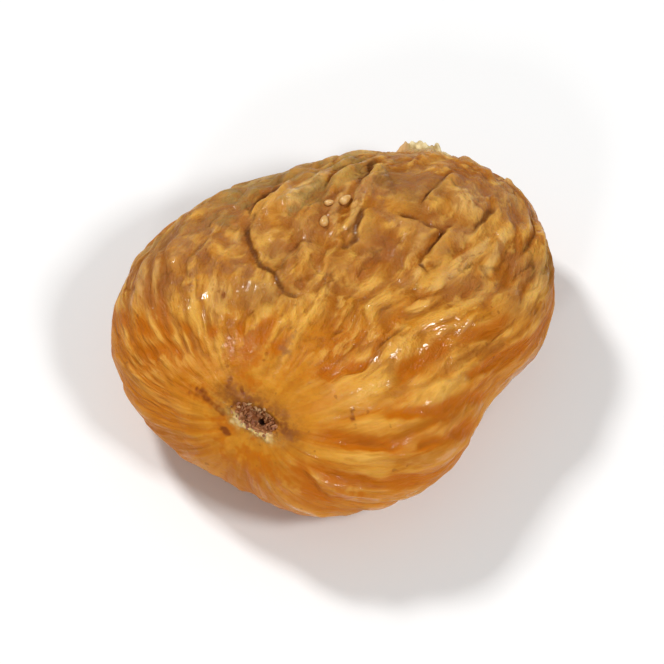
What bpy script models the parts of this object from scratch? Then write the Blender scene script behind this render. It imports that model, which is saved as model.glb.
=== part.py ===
# A dried fig: one flattened, ribbed fruit with a puckered eye on its near shoulder, the dry
# remnant of its stem at its far rim, and three seeds stuck to its skin.
# +Z is up and z = 0 is the surface that the fig lies on. +Y runs from the eye's side to the stem's.
# Lengths are worked out in millimetres and turned into metres when a mesh is made.
import math

import bmesh
import bpy
import numpy as np
from mathutils import Matrix, Vector, noise

MM = 0.001

# Body: a cushion. The rim is its widest line, and the crown and the belly are above and below it.
# From the middle to the rim, every 24 degrees anticlockwise from +X.
RIM_RADII = [23.3, 26.9, 28.4, 24.9, 21.9, 21.1, 22.7, 24.6, 24.3, 22.9, 21.4, 22.4, 21.9, 20.5, 19.3]
RIM_MIDDLE = (0.0, -0.6)
CROWN_HEIGHT = 9.4
BELLY_DEPTH = 9.6
CROWN_FULLNESS = 2.5
BELLY_FULLNESS = 2.25
FLAT_CUT = 0.7

# The rim's height above the surface that the fig lies on, and the move that brings the middle of
# the whole fig, with its stub, over the origin.
REST_HEIGHT = BELLY_DEPTH - FLAT_CUT
ORIGIN_MOVE = (-0.2, -1.3)

# The eye and the stem: bearing from +X and rise above the rim, in degrees.
EYE_BEARING, EYE_RISE = 240.5, 42.3
STEM_BEARING, STEM_RISE = 66.0, -3.0

# Large dents and swellings of the whole body.
SWELL_HEIGHT = 0.9
SWELL_SIZE = 12.0
SWELL_OFFSET = (3.1, 7.7, 1.3)

# Ribs run from the eye to the stem: rounded, with narrow valleys between them, and fewer round the
# eye. Even turns are spread, so that ribs on the crown, where eye and stem are nearer to each other,
# are as wide as those on the belly. Ribs and folds lean over the valleys on their upper left.
CROWN_SPREAD = 0.45
RIB_HEIGHT = 0.85
RIB_PITCH = 4.6
RIB_PITCH_NEAR_EYE = 2.3
NEAR_EYE = (0.1, 0.34)
RIB_LENGTH = 2.0
RIB_WAVER = 0.34
RIB_FADE = (0.03, 0.2)
RIB_UNEVENNESS = 0.8
RIB_LEAN = 0.55
RIDGE_SOFTNESS = 0.07
RIDGE_SHARPNESS = 0.8
RIDGE_MIDDLE = 0.33
WALL_RIB_LOSS = 0.4

# Crumpled skin on the upper half of the crown, as the eye's side sees it.
CRUMPLE_HEIGHT = 0.5
CRUMPLE_PITCH = 7.0
CRUMPLE_LENGTH = 5.5
CRUMPLE_WAVER = 0.65
CRUMPLE_FROM, CRUMPLE_TO = -1.0, 8.0

# Small folds over the whole skin, lower where it isn't crumpled.
SMALL_HEIGHT = 0.3
SMALL_CALM_HEIGHT = 0.1
SMALL_PITCH = 9.0
SMALL_LENGTH = 6.5
SMALL_WAVER = 0.45

# Creases and furrows, drawn on the crown by the (x, v) of their points, where v is the height of a
# point in the view from VIEW_RISE degrees above the surface, on the eye's side. The skin on a
# crease's lower right side is folded up beside it.
VIEW_RISE = 58.0
CREASE_DEPTH = 0.5
CREASE_WIDTH = 0.6
CREASE_TAPER = 2.5
LIP_WAY = (0.7, -0.7)
FOLD_HEIGHT = 0.62
FOLD_AWAY = 0.6
FOLD_REACH = 1.8
FURROW_DEPTH = 0.35
FURROW_WIDTH = 0.9
CREASES = [
    [(-4.5, 18.0), (-5.3, 16.4), (-7.6, 15.1), (-8.9, 14.1), (-9.5, 12.6), (-9.4, 10.0), (-8.0, 7.6),
     (-6.4, 6.4), (-5.5, 4.6), (-4.1, 4.1), (-3.1, 4.5)],
    [(5.6, 20.4), (4.5, 18.9), (4.1, 17.6), (2.4, 15.7)],
    [(4.5, 14.9), (3.4, 13.3), (2.8, 11.7), (2.8, 10.4), (0.8, 9.5)],
    [(14.2, 19.1), (12.3, 17.5), (10.4, 15.3), (9.2, 13.7)],
    [(18.7, 15.2), (18.0, 13.9), (17.1, 12.8), (15.9, 11.7), (15.2, 10.5)],
    [(6.3, 13.5), (9.6, 12.5), (11.2, 11.6), (12.3, 11.3), (11.5, 10.1), (10.1, 8.8), (9.7, 7.8),
     (10.3, 7.0), (11.4, 5.9)],
    [(23.3, 11.8), (21.8, 9.8), (20.8, 8.6), (19.6, 8.4)],
]
FURROWS = [
    [(20.6, 2.3), (17.4, 0.2), (14.6, -0.5), (11.8, -1.7), (9.0, -3.2), (6.3, -4.7)],
    [(22.1, 0.0), (20.8, -1.7), (18.0, -3.0), (16.5, -4.1), (13.8, -4.7)],
    [(4.9, -3.2), (2.0, -3.7), (-2.3, -4.5)],
    [(18.0, -6.5), (14.6, -7.5), (12.3, -8.6), (5.0, -9.0)],
    [(18.0, -9.0), (14.6, -10.8), (10.8, -12.2), (7.1, -12.5), (2.0, -11.8), (-2.3, -10.9)],
    [(11.4, -15.0), (9.0, -16.1), (4.3, -16.5), (1.5, -16.1), (-3.0, -14.2)],
    [(0.1, 6.1), (3.4, 6.6), (4.9, 8.2), (6.3, 9.8), (8.3, 11.4)],
    [(0.5, -19.7), (-1.9, -17.8), (-3.0, -15.7), (-4.2, -13.8)],
    [(-22.5, -1.6), (-20.5, -1.9), (-17.8, -1.4), (-16.0, -2.7)],
]

# The eye: a pucker round a long, shallow opening, with a low lip on its lower side and a bulge of
# skin over its upper side.
PUCKER_RADIUS = 6.0
PUCKER_DEPTH = 1.0
OPENING_RADIUS = 1.3
OPENING_DEPTH = 0.9
OPENING_STRETCH = 2.15
OPENING_TURN = -36.0
LIP_RADIUS = 1.5
LIP_HEIGHT = 0.45
LIP_WIDTH = 0.5
BULGE_HEIGHT = 0.6
BULGE_REACH = 1.3

# The stem: a low, broad crest with a torn edge and a hollow in it.
STUB_LENGTH = 1.9
STUB_TIP_RADIUS = 1.7
STUB_BASE_RADIUS = 3.6
STUB_HOLLOW = 1.0
STUB_HOLLOW_RADIUS = 1.5
STUB_TEAR = 0.5
STUB_TEAR_SIZE = 1.3
STUB_LEAN = 0.15

# Seeds: (x, v) of each on the crown, its size and how its long axis turns, in degrees.
SEED_SIZE = (0.80, 0.62, 0.50)
SEEDS = [((-0.9, 12.3), 1.0, 80.0), ((1.4, 14.9), 0.95, 40.0), ((-0.3, 14.5), 0.72, 10.0)]
SEED_SINK = 0.35

# Mesh: points on the widest rings, and rings from the eye to the stem, closer together at both.
RING_POINTS = 144
RING_COUNT = 46
RING_CROWDING = 0.5
CROWN_DENSITY = 0.25

SKIN_COLOUR = (0.56, 0.27, 0.065, 1.0)
SKIN_ROUGHNESS = 0.38


def direction_from(bearing, rise):
    bearing, rise = math.radians(bearing), math.radians(rise)
    return np.array([math.cos(rise) * math.cos(bearing), math.cos(rise) * math.sin(bearing), math.sin(rise)])


def smooth_step(low, high, value):
    part = np.clip((value - low) / (high - low), 0.0, 1.0)
    return part * part * (3.0 - 2.0 * part)


# The direction from the middle of the body at a turn about the line from eye to stem, and at a
# travel of 0 at the eye and 1 at the stem. Lines of equal turn are arcs that meet at both ends.
def rib_direction(turn, travel):
    eye, stem = direction_from(EYE_BEARING, EYE_RISE), direction_from(STEM_BEARING, STEM_RISE)
    eye_flat = complex(eye[0], eye[1]) / (1.0 + eye[2])
    stem_flat = complex(stem[0], stem[1]) / (1.0 + stem[2])
    near, far = np.cos(travel * math.pi / 2), np.sin(travel * math.pi / 2) * np.exp(1j * turn)
    top, bottom = eye_flat * near + stem_flat * far, near + far
    size = np.abs(top) ** 2 + np.abs(bottom) ** 2
    across = 2.0 * top * np.conj(bottom) / size
    up = (np.abs(bottom) ** 2 - np.abs(top) ** 2) / size
    return np.stack([across.real, across.imag, up], axis=-1)


def rim_radius(bearing):
    radii, count = np.array(RIM_RADII), len(RIM_RADII)
    place = (bearing % (2 * math.pi)) / (2 * math.pi) * count
    index = np.floor(place).astype(int)
    part = place - index
    before, here, after, beyond = (radii[(index + step) % count] for step in (-1, 0, 1, 2))
    slope = after - before
    bend = 2 * before - 5 * here + 4 * after - beyond
    twist = 3 * (here - after) + beyond - before
    return 0.5 * (2 * here + part * (slope + part * (bend + part * twist)))


def cushion_point(direction):
    across = np.hypot(direction[..., 0], direction[..., 1])
    up = direction[..., 2]
    fullness = np.where(up > 0, CROWN_FULLNESS, BELLY_FULLNESS)
    size = (across ** fullness + np.abs(up) ** fullness) ** (1.0 / fullness)
    radius = rim_radius(np.arctan2(direction[..., 1], direction[..., 0]))
    height = np.where(up > 0, CROWN_HEIGHT, BELLY_DEPTH)
    across_x = RIM_MIDDLE[0] + radius * direction[..., 0] / size
    across_y = RIM_MIDDLE[1] + radius * direction[..., 1] / size
    return np.stack([across_x, across_y, height * up / size], axis=-1)


def cushion_normal(direction):
    helper = np.where(np.abs(direction[..., 2:3]) < 0.9, np.array([0.0, 0.0, 1.0]), np.array([1.0, 0.0, 0.0]))
    side = np.cross(helper, direction)
    side /= np.linalg.norm(side, axis=-1, keepdims=True)
    other = np.cross(direction, side)
    small = 0.01
    along_side = cushion_point(direction + small * side) - cushion_point(direction - small * side)
    along_other = cushion_point(direction + small * other) - cushion_point(direction - small * other)
    normal = np.cross(along_side, along_other)
    return normal / np.linalg.norm(normal, axis=-1, keepdims=True)


def noise_at(places):
    return np.array([noise.noise(Vector(place)) for place in places])


def view_height(points):
    rise = math.radians(VIEW_RISE)
    return points[:, 1] * math.sin(rise) + points[:, 2] * math.cos(rise)


# How far each point is from a line, how much it lies beside the line's own length and not beyond its
# ends, and how much it is on the folded side.
def beside_line(x, v, line):
    nearest, along, folded = np.full(len(x), 1e9), np.zeros(len(x)), np.zeros(len(x))
    length = 0.0
    for (start_x, start_v), (end_x, end_v) in zip(line, line[1:]):
        run_x, run_v = end_x - start_x, end_v - start_v
        run = math.hypot(run_x, run_v)
        part = np.clip(((x - start_x) * run_x + (v - start_v) * run_v) / run ** 2, 0.0, 1.0)
        away_x, away_v = x - start_x - part * run_x, v - start_v - part * run_v
        distance = np.hypot(away_x, away_v)
        closer = distance < nearest
        along = np.where(closer, length + part * run, along)
        side = (away_x * LIP_WAY[0] + away_v * LIP_WAY[1]) / np.maximum(distance, 0.01)
        folded = np.where(closer, side, folded)
        nearest = np.where(closer, distance, nearest)
        length += run
    ends = smooth_step(0.0, CREASE_TAPER, np.minimum(along, length - along) + 0.3)
    return nearest, ends, smooth_step(0.0, 0.5, folded)


def waver_at(points, size):
    return np.stack([noise_at(points / size + shift) for shift in (11.3, 23.9, 37.1)], axis=-1)


# Rounded ridges and narrow valleys, long along the ribs. Pitch is how many fit round the fig.
def ridges(turn, travel, pitch, length, waver):
    places = np.stack([pitch * np.cos(turn), pitch * np.sin(turn), length * travel], axis=-1)
    soft = np.sqrt(noise_at(places + waver) ** 2 + RIDGE_SOFTNESS ** 2)
    return 2.0 * (soft ** RIDGE_SHARPNESS - RIDGE_MIDDLE)


def rib_relief(turn, travel, points):
    waver = RIB_WAVER * waver_at(points, 6.0)
    shown = smooth_step(*RIB_FADE, np.minimum(travel, 1.0 - travel))
    uneven = 1.0 + RIB_UNEVENNESS * noise_at(points / 9.0 + 5.0)
    far = ridges(turn, travel, RIB_PITCH, RIB_LENGTH, waver)
    near = ridges(turn, travel, RIB_PITCH_NEAR_EYE, RIB_LENGTH, 0.6 * waver)
    return RIB_HEIGHT * uneven * shown * (near + smooth_step(*NEAR_EYE, travel) * (far - near))


def crumple_relief(turn, travel, points):
    waver = CRUMPLE_WAVER * waver_at(points, 5.0)
    return CRUMPLE_HEIGHT * ridges(turn, travel, CRUMPLE_PITCH, CRUMPLE_LENGTH, waver)


def small_relief(turn, travel, points, crumpled):
    shown = smooth_step(*RIB_FADE, np.minimum(travel, 1.0 - travel))
    height = SMALL_CALM_HEIGHT + (SMALL_HEIGHT - SMALL_CALM_HEIGHT) * crumpled
    waver = SMALL_WAVER * waver_at(points, 4.0)
    return height * shown * ridges(turn, travel, SMALL_PITCH, SMALL_LENGTH, waver)


# The folds that stand beside the creases, and the creases' and furrows' own depth.
def crease_relief(points, normals):
    rise = math.radians(VIEW_RISE)
    facing = smooth_step(0.1, 0.4, -normals[:, 1] * math.cos(rise) + normals[:, 2] * math.sin(rise))
    height = view_height(points)
    folded, depth = np.zeros(len(points)), np.zeros(len(points))
    for line in CREASES:
        distance, ends, side = beside_line(points[:, 0], height, line)
        rising = smooth_step(0.0, FOLD_AWAY, distance)
        falling = np.exp(-np.maximum(distance - FOLD_AWAY, 0.0) / FOLD_REACH)
        folded = np.maximum(folded, FOLD_HEIGHT * rising * falling * side * ends)
        depth = np.maximum(depth, CREASE_DEPTH * np.exp(-(distance / CREASE_WIDTH) ** 2) * ends)
    for line in FURROWS:
        distance, ends, _ = beside_line(points[:, 0], height, line)
        depth = np.maximum(depth, FURROW_DEPTH * np.exp(-(distance / FURROW_WIDTH) ** 2) * ends)
    return (folded - depth) * facing


def eye_frame():
    direction = direction_from(EYE_BEARING, EYE_RISE)
    place, normal = cushion_point(direction), cushion_normal(direction)
    level = np.cross(np.array([0.0, 1.0, 0.0]), normal)
    level /= np.linalg.norm(level)
    turn = math.radians(OPENING_TURN)
    long_axis = level * math.cos(turn) + np.cross(normal, level) * math.sin(turn)
    return place, normal, long_axis


def eye_relief(points):
    place, normal, long_axis = eye_frame()
    away = points - place
    along = away @ long_axis
    across = away @ np.cross(normal, long_axis)
    reach = np.sqrt((along / OPENING_STRETCH) ** 2 + across ** 2 + (away @ normal) ** 2)
    upper = across / np.maximum(reach, 0.1)
    pucker = -PUCKER_DEPTH * (1.0 - smooth_step(0.0, PUCKER_RADIUS, np.linalg.norm(away, axis=1)))
    lip = LIP_HEIGHT * np.exp(-((reach - LIP_RADIUS) / LIP_WIDTH) ** 2) * smooth_step(0.45, -0.1, upper)
    edge = smooth_step(0.85 * OPENING_RADIUS, 1.2 * OPENING_RADIUS, reach)
    bulge = edge * np.exp(-np.maximum(reach - OPENING_RADIUS, 0.0) / BULGE_REACH)
    bulge = BULGE_HEIGHT * bulge * smooth_step(0.0, 0.7, upper)
    opening = -OPENING_DEPTH * (1.0 - smooth_step(0.4 * OPENING_RADIUS, OPENING_RADIUS, reach))
    return pucker + lip + bulge + opening


def stub_move(points):
    direction = direction_from(STEM_BEARING, STEM_RISE)
    place, axis = cushion_point(direction), cushion_normal(direction)
    axis = axis + np.array([0.0, 0.0, STUB_LEAN])
    axis /= np.linalg.norm(axis)
    reach = np.linalg.norm(points - place, axis=1)
    torn = 1.0 + STUB_TEAR * noise_at(points / STUB_TEAR_SIZE + 4.0)
    rise = STUB_LENGTH * torn * (1.0 - smooth_step(STUB_TIP_RADIUS, STUB_BASE_RADIUS, reach))
    hollow = STUB_HOLLOW * (1.0 - smooth_step(0.0, STUB_HOLLOW_RADIUS, reach))
    return (rise - hollow)[:, None] * axis


# Across the ribs, towards the upper left of the view, and less where ribs run that way themselves.
def lean_way(turn, travel):
    before, after = rib_direction(turn - 0.01, travel), rib_direction(turn + 0.01, travel)
    across = cushion_point(after) - cushion_point(before)
    across = across / np.maximum(np.linalg.norm(across, axis=1, keepdims=True), 1e-9)
    rise = math.radians(VIEW_RISE)
    upper_left = np.array([-0.7, 0.7 * math.sin(rise), 0.7 * math.cos(rise)])
    return across * np.clip(2.0 * across @ upper_left, -1.0, 1.0)[:, None]


def skin_points(even_turn, travel):
    turn = even_turn + CROWN_SPREAD * np.sin(even_turn)
    direction = rib_direction(turn, travel)
    points, normals = cushion_point(direction), cushion_normal(direction)
    crumpled = smooth_step(CRUMPLE_FROM, CRUMPLE_TO, view_height(points))
    crumpled = crumpled * smooth_step(0.0, 0.5, normals[:, 2])
    wall = 1.0 - smooth_step(0.05, 0.75, normals[:, 2])
    swell = SWELL_HEIGHT * noise_at(points / SWELL_SIZE + np.array(SWELL_OFFSET))
    folds = (1.0 - crumpled) * (1.0 - WALL_RIB_LOSS * wall) * rib_relief(even_turn, travel, points)
    folds += crumpled * crumple_relief(even_turn, travel, points)
    relief = swell + folds + small_relief(even_turn, travel, points, crumpled)
    relief += crease_relief(points, normals) + eye_relief(points)
    leaning = RIB_LEAN * folds * smooth_step(0.08, 0.2, np.minimum(travel, 1.0 - travel))
    shift = relief[:, None] * normals + leaning[:, None] * lean_way(turn, travel)
    points = points + shift + stub_move(points)
    points += np.array([*ORIGIN_MOVE, REST_HEIGHT])
    points[:, 2] = np.maximum(points[:, 2], 0.0)
    return points


def ring_sizes():
    caps = [RING_POINTS // 8, RING_POINTS // 4, RING_POINTS // 2, RING_POINTS // 2]
    return caps + [RING_POINTS] * (RING_COUNT - 2 * len(caps)) + caps[::-1]


def build_skin():
    sizes = ring_sizes()
    steps = np.arange(1, RING_COUNT + 1) / (RING_COUNT + 1)
    travels = steps - RING_CROWDING * np.sin(2 * math.pi * steps) / (2 * math.pi)
    turn = np.concatenate([[0.0]] + [np.arange(size) / size * 2 * math.pi for size in sizes] + [[0.0]])
    turn = turn - CROWN_DENSITY * np.sin(turn)
    travel = np.concatenate([[0.0]] + [np.full(size, place) for size, place in zip(sizes, travels)] + [[1.0]])
    places = skin_points(turn, travel) * MM

    mesh = bmesh.new()
    vertices = [mesh.verts.new(place) for place in places]
    starts = np.concatenate([[1], 1 + np.cumsum(sizes)])
    rings = [vertices[start:start + size] for start, size in zip(starts, sizes)]
    fan(mesh, vertices[0], rings[0], outward=False)
    for near, far in zip(rings, rings[1:]):
        bridge(mesh, near, far)
    fan(mesh, vertices[-1], rings[-1], outward=True)
    bmesh.ops.triangulate(mesh, faces=mesh.faces)
    bmesh.ops.recalc_face_normals(mesh, faces=mesh.faces)
    return mesh_object("dried_fig", mesh)


def fan(mesh, tip, ring, outward):
    for index, vertex in enumerate(ring):
        following = ring[(index + 1) % len(ring)]
        mesh.faces.new((tip, vertex, following) if outward else (tip, following, vertex))


# Two rings of the same size are joined by quads, and a ring to one of half its size by triangles.
def bridge(mesh, near, far):
    if len(near) == len(far):
        for index in range(len(near)):
            following = (index + 1) % len(near)
            mesh.faces.new((near[index], near[following], far[following], far[index]))
        return
    small, large = (near, far) if len(near) < len(far) else (far, near)
    for index in range(len(small)):
        following = (index + 1) % len(small)
        left, middle, right = (large[(2 * index + step) % len(large)] for step in (0, 1, 2))
        mesh.faces.new((small[index], middle, left))
        mesh.faces.new((small[index], small[following], middle))
        mesh.faces.new((small[following], right, middle))


def mesh_object(name, mesh):
    data = bpy.data.meshes.new(name)
    mesh.to_mesh(data)
    mesh.free()
    data.shade_smooth()
    made = bpy.data.objects.new(name, data)
    bpy.context.scene.collection.objects.link(made)
    return made


def build_seed(skin, place, size, turn):
    rise = math.radians(VIEW_RISE)
    toward = Vector((0.0, -math.cos(rise), math.sin(rise)))
    aim = (place[0], place[1] * math.sin(rise), place[1] * math.cos(rise))
    start = (Vector(aim) + Vector((*ORIGIN_MOVE, REST_HEIGHT))) * MM
    found, spot, normal, _ = skin.ray_cast(start + toward * 0.1, -toward)
    mesh = bmesh.new()
    bmesh.ops.create_icosphere(mesh, subdivisions=2, radius=MM)
    lengths = Matrix.Diagonal((SEED_SIZE[0] * size, SEED_SIZE[1] * size, SEED_SIZE[2] * size, 1.0))
    lying = normal.to_track_quat("Z", "X").to_matrix().to_4x4() @ Matrix.Rotation(math.radians(turn), 4, "Z")
    centre = spot + normal * (SEED_SIZE[2] * size - SEED_SINK) * MM
    mesh.transform(Matrix.Translation(centre) @ lying @ lengths)
    return mesh_object("seed", mesh)


def join_seeds(skin):
    seeds = bpy.data.collections.new("seeds")
    bpy.context.scene.collection.children.link(seeds)
    bpy.context.view_layer.update()
    for place, size, turn in SEEDS:
        seed = build_seed(skin, place, size, turn)
        bpy.context.scene.collection.objects.unlink(seed)
        seeds.objects.link(seed)
    union = skin.modifiers.new("seeds", "BOOLEAN")
    union.operation = "UNION"
    union.operand_type = "COLLECTION"
    union.collection = seeds
    union.solver = "EXACT"
    depsgraph = bpy.context.evaluated_depsgraph_get()
    joined = bpy.data.meshes.new_from_object(skin.evaluated_get(depsgraph))
    skin.modifiers.remove(union)
    skin.data = joined
    skin.data.name = skin.name
    skin.data.shade_smooth()
    for seed in list(seeds.objects):
        bpy.data.objects.remove(seed)
    bpy.data.collections.remove(seeds)


def skin_material():
    material = bpy.data.materials.new("fig_skin")
    material.use_nodes = True
    shader = material.node_tree.nodes["Principled BSDF"]
    shader.inputs["Base Color"].default_value = SKIN_COLOUR
    shader.inputs["Roughness"].default_value = SKIN_ROUGHNESS
    shader.inputs["Metallic"].default_value = 0.0
    return material


def main():
    for old in list(bpy.data.objects):
        bpy.data.objects.remove(old)
    fig = build_skin()
    join_seeds(fig)
    fig.data.materials.clear()
    fig.data.materials.append(skin_material())


main()
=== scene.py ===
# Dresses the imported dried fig: its wrinkled skin, the bracts in its eye, its torn stem and the
# seeds stuck to it. Shapes are worked out in millimetres and put into meshes in metres.
import math

import bpy
import numpy as np
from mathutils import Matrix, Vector, noise


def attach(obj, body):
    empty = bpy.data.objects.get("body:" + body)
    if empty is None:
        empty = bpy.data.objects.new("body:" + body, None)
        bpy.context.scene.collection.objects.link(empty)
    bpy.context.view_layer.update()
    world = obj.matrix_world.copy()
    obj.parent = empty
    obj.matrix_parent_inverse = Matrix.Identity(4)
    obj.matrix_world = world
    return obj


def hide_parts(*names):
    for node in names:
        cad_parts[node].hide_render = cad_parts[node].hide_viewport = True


mm = 0.001

# The photograph's view: how far above level it looks from, and the way back towards its camera.
viewRise = math.radians(58.0)
viewWay = (0.0, -math.cos(viewRise), math.sin(viewRise))

# The fig's body, as in the solid model.
body = {
    "rimRadii": [23.3, 26.9, 28.4, 24.9, 21.9, 21.1, 22.7, 24.6, 24.3, 22.9, 21.4, 22.4, 21.9, 20.5, 19.3],
    "rimMiddle": (0.0, -0.6),
    "crownHeight": 9.4,
    "bellyDepth": 9.6,
    "crownFullness": 2.5,
    "bellyFullness": 2.25,
    "flatCut": 0.7,
    "originMove": (-0.2, -1.3),
    "eye": (240.5, 42.3),       # bearing and rise, in degrees
    "stem": (66.0, -3.0),
    "swellHeight": 0.9,
    "swellSize": 12.0,
    "swellOffset": (3.1, 7.7, 1.3),
    "crownSpread": 0.45,
}
settling = np.array([*body["originMove"], body["bellyDepth"] - body["flatCut"]])

ribs = {
    "height": 0.85,
    "pitch": 4.6,
    "nearPitch": 2.3,           # round the eye, where the ribs would otherwise crowd
    "nearZone": (0.1, 0.34),
    "length": 2.0,
    "waver": 0.34,
    "fade": (0.03, 0.2),        # travel from the eye or the stem where they start and are full
    "softness": 0.07,
    "sharpness": 0.8,
    "middle": 0.33,             # of the noise that shapes them
    "unevenness": 0.8,
    "wallLoss": 0.4,            # how much lower they are on steep sides
    "lean": 0.55,               # how far a ridge leans over the valley on its upper left
}

crumple = {
    "height": 0.5,
    "pitch": 7.0,
    "length": 5.5,
    "waver": 0.65,
    "zone": (-1.0, 8.0),        # height in the view where it starts and is full
}

# Small folds over the whole skin, lower where it isn't crumpled.
smallFolds = {
    "height": 0.36,
    "calmHeight": 0.12,
    "pitch": 10.0,
    "length": 8.5,
    "waver": 0.4,
}

# Lines in the skin by the (x, height in the view) of their points.
creases = {
    "depth": 0.2,
    "width": 0.34,
    "lipHeight": 0.62,
    "lipAway": 0.45,
    "lipReach": 1.8,            # how far the folded side falls away
    "lipWay": (0.7, -0.7),      # the side of each line that is folded over
    "furrowDepth": 0.45,
    "furrowWidth": 0.75,
    "streakDepth": 0.1,
    "streakWidth": 0.7,
    "waver": 0.3,
    "taper": 2.5,               # how far from its ends a line reaches its full depth
    "shadeWidth": 0.9,
    "fineShare": 0.55,
    "fineLines": [
        [(-5.5, 5.4), (-5.8, 7.4), (-5.0, 8.7), (-3.5, 9.9), (-1.4, 10.1), (0.6, 10.5), (2.6, 10.2)],
        [(-3.8, 4.1), (-3.7, 5.4), (-3.2, 6.2), (-2.5, 6.8)],
        [(-0.2, 8.5), (1.1, 9.5), (2.9, 10.0), (3.7, 11.3), (4.7, 11.8)],
        [(-2.7, 14.1), (-0.4, 16.1), (1.9, 18.6), (4.2, 20.2)],
        [(7.2, 9.5), (7.7, 7.4), (9.3, 6.9)],
        [(8.0, 3.9), (9.8, 5.4), (10.8, 6.2)],
        [(20.9, 13.0), (21.2, 14.6), (21.5, 16.1)],
        [(-3.1, 13.9), (-1.9, 14.3), (-0.4, 15.1), (1.1, 15.8), (2.6, 17.1)],
        [(-8.3, 15.3), (-6.3, 17.1), (-4.0, 18.9), (-1.4, 19.4)],
        [(-9.8, 15.6), (-8.0, 16.4), (-6.8, 17.4)],
        [(12.3, 4.4), (13.8, 5.9), (15.4, 7.4), (17.4, 8.0)],
        [(4.4, 1.3), (5.7, 2.6), (7.5, 3.4), (8.6, 4.8)],
        [(-0.4, 1.8), (0.9, 3.4), (1.6, 4.4)],
        [(-13.4, 11.4), (-13.8, 8.9), (-13.2, 6.5)],
        [(-8.2, 3.6), (-9.4, 1.5), (-9.9, -0.8)],
        [(-3.0, 1.4), (-5.0, -0.2), (-6.4, -2.4)],
        [(2.2, 1.6), (0.4, 0.2), (-1.5, -1.0)],
        [(10.4, 1.9), (7.7, 0.2), (5.4, -1.2), (3.6, -1.9)],
    ],
    "lines": [
        [(-4.5, 18.0), (-5.3, 16.4), (-7.6, 15.1), (-8.9, 14.1), (-9.5, 12.6), (-9.4, 10.0), (-8.0, 7.6),
         (-6.4, 6.4), (-5.5, 4.6), (-4.1, 4.1), (-3.1, 4.5)],
        [(5.6, 20.4), (4.5, 18.9), (4.1, 17.6), (2.4, 15.7)],
        [(-1.3, 16.3), (1.4, 18.4), (2.9, 19.6)],
        [(4.5, 14.9), (3.4, 13.3), (2.8, 11.7), (2.8, 10.4), (0.8, 9.5)],
        [(14.2, 19.1), (12.3, 17.5), (10.4, 15.3), (9.2, 13.7)],
        [(18.7, 15.2), (18.0, 13.9), (17.1, 12.8), (15.9, 11.7), (15.2, 10.5)],
        [(6.3, 13.5), (9.6, 12.5), (11.2, 11.6), (12.3, 11.3), (11.5, 10.1), (10.1, 8.8), (9.7, 7.8),
         (10.3, 7.0), (11.4, 5.9)],
        [(23.3, 11.8), (21.8, 9.8), (20.8, 8.6), (19.6, 8.4)],
        [(17.1, 9.8), (16.7, 8.9), (16.3, 7.6)],
        [(1.3, -0.6), (2.6, -1.5)],
        [(-16.2, 7.2), (-15.5, 5.0)],
    ],
    "furrows": [
        [(20.6, 2.3), (17.4, 0.2), (14.6, -0.5), (11.8, -1.7), (9.0, -3.2), (6.3, -4.7)],
        [(22.1, 0.0), (20.8, -1.7), (18.0, -3.0), (16.5, -4.1), (13.8, -4.7)],
        [(4.9, -3.2), (2.0, -3.7), (-2.3, -4.5)],
        [(18.0, -6.5), (14.6, -7.5), (12.3, -8.6), (5.0, -9.0)],
        [(18.0, -9.0), (14.6, -10.8), (10.8, -12.2), (7.1, -12.5), (2.0, -11.8), (-2.3, -10.9)],
        [(11.4, -15.0), (9.0, -16.1), (4.3, -16.5), (1.5, -16.1), (-3.0, -14.2)],
        [(0.1, 6.1), (3.4, 6.6), (4.9, 8.2), (6.3, 9.8), (8.3, 11.4)],
        [(0.5, -19.7), (-1.9, -17.8), (-3.0, -15.7), (-4.2, -13.8)],
        [(-22.5, -1.6), (-20.5, -1.9), (-17.8, -1.4), (-16.0, -2.7)],
    ],
    "streaks": [
        [(-23.5, 3.6), (-23.3, 0.0)],
        [(-21.5, 2.4), (-20.7, -1.1)],
        [(-19.3, 4.6), (-18.9, 2.0), (-18.0, -1.0)],
        [(-16.6, 1.8), (-16.2, -0.5)],
        [(-13.0, 1.6), (-13.3, -1.3)],
        [(-12.0, 5.4), (-12.0, 3.2)],
        [(-9.4, 1.8), (-10.4, -1.3)],
        [(-6.0, 2.2), (-8.6, -2.2)],
        [(-4.2, 0.6), (-7.0, -3.2)],
    ],
}

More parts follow.
